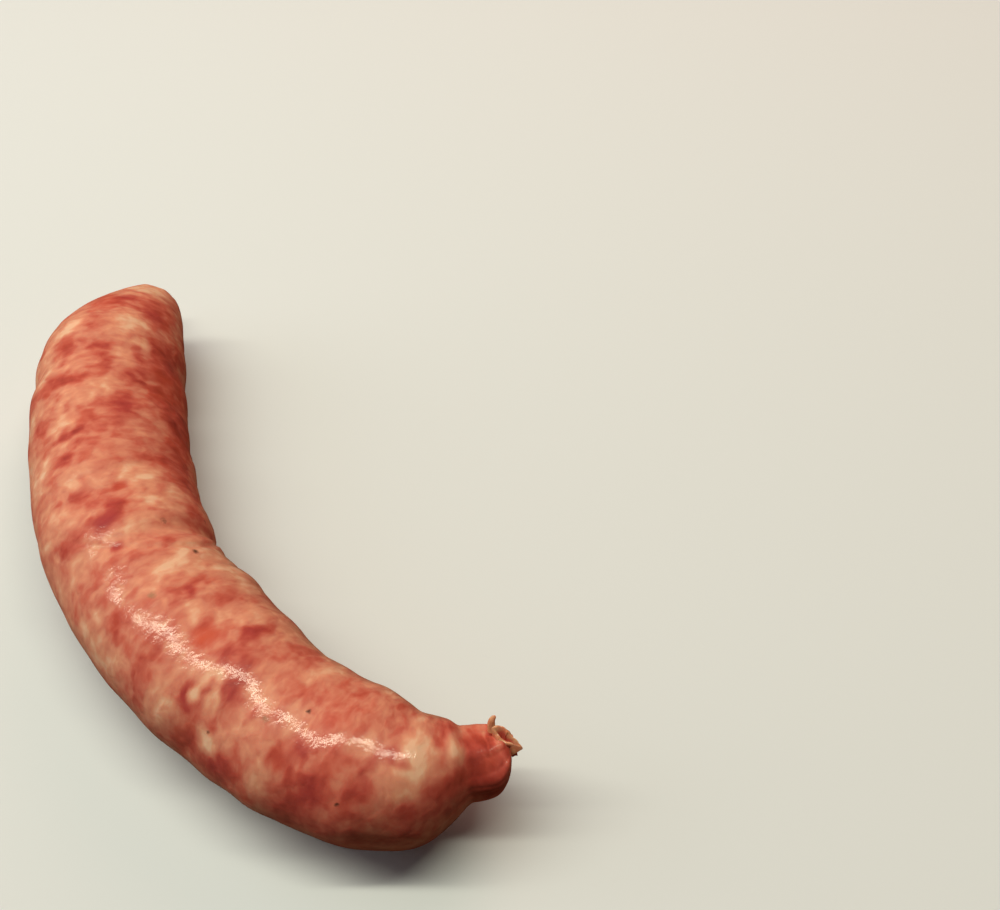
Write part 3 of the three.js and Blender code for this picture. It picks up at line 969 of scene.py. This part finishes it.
def casing_material():
    """Bare casing, pale and moist, over dark meat in the mouth of each tail."""
    material, tree, surface = new_material("bare_casing", CASING_SURFACE)
    place = node(tree, "TexCoord").outputs["Object"]
    place = scaled(tree, place, (1 / MM,) * 3)
    inside = node(tree, "Attribute", attribute_name="inside").outputs["Fac"]
    shade, _ = cloudy(tree, place, 0.9, 3.0)
    colour = blend_of(tree, inside, ramp(tree, shade, CASING_RAMP), LEAN_RED)
    tree.links.new(colour, surface.inputs["Base Color"])
    fine, _ = cloudy(tree, place, 2.4, 3.0)
    bump = node(tree, "Bump", {"Height": fine, "Strength": 0.3, "Distance": 0.12 * MM})
    tree.links.new(bump.outputs["Normal"], surface.inputs["Normal"])
    return material


def floor_material():
    """Pale where it is seen; it throws less light back up than it shows."""
    material, tree, surface = new_material("pale_floor", FLOOR_SURFACE)
    seen = node(tree, "LightPath").outputs["Is Camera Ray"]
    tree.links.new(blend_of(tree, seen, FLOOR_BOUNCE, FLOOR_SEEN), surface.inputs["Base Color"])
    return material


# ---------------------------------------------------------------- studio
# Lengths are in metres here. The floor and the world have one colour for the camera and one
# for the light that they throw back.
FLOOR_SIDE = 3.0
FLOOR_SEEN, FLOOR_BOUNCE = (0.76, 0.8, 0.85, 1.0), (0.14, 0.08, 0.05, 1.0)
# name, direction in the camera's own turn (right, away, up), distance, length, width, power in
# watts, colour and whether the casing mirrors it
LIGHTS = (
    ("overhead_strip", (-0.2, 0.1, 0.97), 1.0, 1.75, 0.08, 9.9, (1.0, 0.97, 0.74), True),
    ("overhead_glow", (-0.35, 0.3, 0.87), 1.3, 1.0, 1.0, 2.8, (1.0, 1.0, 1.0), False),
    ("side_light", (-0.95, 0.05, 0.3), 0.9, 0.6, 0.6, 1.95, (1.0, 1.0, 1.0), False),
    ("fill_light", (0.3, 0.75, 0.6), 0.9, 0.5, 0.5, 1.75, (1.0, 0.57, 0.44), False),
)
WORLD_SEEN, WORLD_BOUNCE = (0.5, 0.5, 0.47, 1.0), (0.03, 0.021, 0.0165, 1.0)


def make_light(name, direction, distance, length, width, power, colour, mirrored):
    """A soft rectangular light, its length running to the camera's right."""
    light = bpy.data.lights.new(name, "AREA")
    light.shape = "RECTANGLE"
    light.size, light.size_y = length, width
    light.energy = power
    light.color = colour
    lamp = bpy.data.objects.new(name, light)
    lamp.visible_glossy = mirrored
    turn = Matrix.Rotation(math.radians(CAMERA_AZIMUTH), 3, "Z")
    back = Vector(direction).normalized()
    across = (Vector((1, 0, 0)) - back * back.x).normalized()
    facing = Matrix((across, back.cross(across), back)).transposed()
    lamp.location = turn @ back * distance
    lamp.rotation_euler = (turn @ facing).to_euler()
    bpy.context.scene.collection.objects.link(lamp)


def make_studio():
    """A pale floor under two soft lights overhead, a side light and a weak fill."""
    bpy.ops.mesh.primitive_plane_add(size=FLOOR_SIDE)
    floor = bpy.context.object
    floor.name = "floor"
    floor.data.materials.append(floor_material())
    for light in LIGHTS:
        make_light(*light)
    world = bpy.data.worlds.new("studio")
    world.use_nodes = True
    tree = world.node_tree
    seen = node(tree, "LightPath").outputs["Is Camera Ray"]
    backdrop = blend_of(tree, seen, WORLD_BOUNCE, WORLD_SEEN)
    tree.links.new(backdrop, tree.nodes["Background"].inputs["Color"])
    bpy.context.scene.world = world
    bpy.context.scene.view_settings.view_transform = "Standard"


def make_camera():
    """The photo's camera."""
    camera = bpy.data.objects.new("camera", bpy.data.cameras.new("camera"))
    camera.data.lens = CAMERA_LENS
    camera.data.sensor_width = CAMERA_SENSOR
    camera.data.clip_start = CAMERA_CLIP_START
    camera.location = Vector(CAMERA_PLACE) * MM
    pitch = math.radians(90 - CAMERA_PITCH)
    camera.rotation_euler = (pitch, 0, math.radians(CAMERA_AZIMUTH))
    bpy.context.scene.collection.objects.link(camera)
    bpy.context.scene.camera = camera


# ---------------------------------------------------------------- the scene
offset = plan_offset()
meat = meat_material()
link = make_link(offset)
link.data.materials.append(meat)
casing = casing_material()
blunt_foot = centres(np.array([BLUNT_TAIL_FOOT]))[0] + offset
tails = [
    make_tail("neck_tail", NECK_LIP, np.array(NECK_TAIL_FOOT), NECK_LIP_THICKNESS),
    make_strip("neck_strip", NECK_STRIP),
    make_tail("blunt_tail", blunt_lip(offset), blunt_foot, BLUNT_LIP_THICKNESS),
]
for tail in tails:
    tail.data.materials.append(casing)
for piece in [link] + tails:
    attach(piece, BODY)
    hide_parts(NODE)

make_studio()
make_camera()
